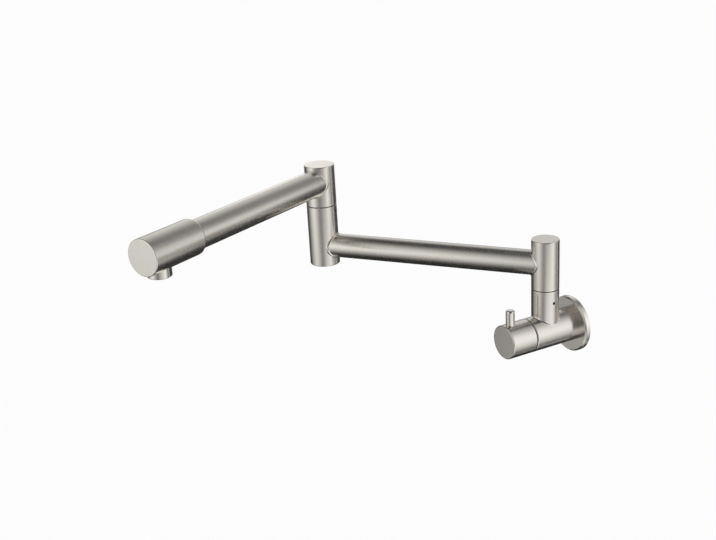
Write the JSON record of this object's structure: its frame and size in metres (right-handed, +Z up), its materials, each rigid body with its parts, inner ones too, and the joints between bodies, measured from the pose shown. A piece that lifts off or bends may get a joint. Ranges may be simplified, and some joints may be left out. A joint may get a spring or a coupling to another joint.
{
  "type": "wall mounted pot filler",
  "caption": "Wall mounted pot filler tap: quarter-turn valve with lever pin on a round wall flange, and two folding arms on swivels with a downward outlet.",
  "frame": {"origin": "centre of the wall flange's back face, on the wall plane and on the axis of the inlet thread", "axes": "+Z up, +Y into the wall along the inlet thread, -Y towards the room, +X right when facing the wall"},
  "size_m": [0.2379, 0.429, 0.1904],
  "materials": {
    "brushed_nickel": "satin, brushed round each tube and hub",
    "polished_pin": "polished",
    "bright_nickel": "bright",
    "turned_brass": "turned",
    "white_ceramic": "lapped ceramic",
    "black_rubber": "matt",
    "grey_foam": "foam",
    "red_fibre": "pressed fibre",
    "dark_acetal": "matt",
    "white_acetal": "moulded",
    "bare_stainless": "plain"
  },
  "bodies": {
    "wall_valve": {"wall_flange": "brushed_nickel", "wall_gasket": "grey_foam", "flange_o_ring": "black_rubber", "valve_body": "brushed_nickel", "riser_set_screw": "bare_stainless", "inlet_seal": "red_fibre", "inlet_strainer": "bare_stainless", "cartridge_bonnet": "turned_brass", "cartridge_seat_seal": "black_rubber", "fixed_disc": "white_ceramic", "rear_slide_ring": "dark_acetal"},
    "knob": {"knob_shell": "brushed_nickel", "lever_pin": "polished_pin", "knob_grub_screw": "bare_stainless", "valve_spindle": "turned_brass", "moving_disc": "white_ceramic", "spindle_o_ring_inner": "black_rubber", "spindle_o_ring_outer": "black_rubber", "spindle_clip": "bare_stainless"},
    "arm_1": {"rear_hub": "brushed_nickel", "rear_cap": "brushed_nickel", "rear_spigot": "turned_brass", "rear_o_ring_lower": "black_rubber", "rear_o_ring_upper": "black_rubber", "arm_1_tube": "brushed_nickel", "mid_lower_hub": "brushed_nickel", "mid_bottom_cap": "brushed_nickel", "mid_set_screw": "bare_stainless", "mid_slide_ring": "dark_acetal"},
    "arm_2": {"mid_upper_hub": "brushed_nickel", "mid_top_cap": "brushed_nickel", "mid_spigot": "turned_brass", "mid_o_ring_lower": "black_rubber", "mid_o_ring_upper": "black_rubber", "arm_2_tube": "brushed_nickel", "head_sleeve": "brushed_nickel", "head_end_cap": "brushed_nickel", "outlet_collar": "bright_nickel", "aerator_housing": "white_acetal", "aerator_screen": "bare_stainless", "aerator_seal": "black_rubber"}
  },
  "joints": [
    {"name": "knob_turn", "type": "hinge", "parent": "wall_valve", "child": "knob", "pos_m": [0, -0.072, 0], "axis": [0, -1, 0], "range_deg": [0, 90]},
    {"name": "arm_1_swing", "type": "hinge", "parent": "wall_valve", "child": "arm_1", "pos_m": [0, -0.035, 0.0465], "axis": [0, 0, 1], "range_deg": [-37, 142]},
    {"name": "arm_2_swing", "type": "hinge", "parent": "arm_1", "child": "arm_2", "pos_m": [-0.19288, -0.18247, 0.1176], "axis": [0, 0, 1], "continuous": true}
  ]
}
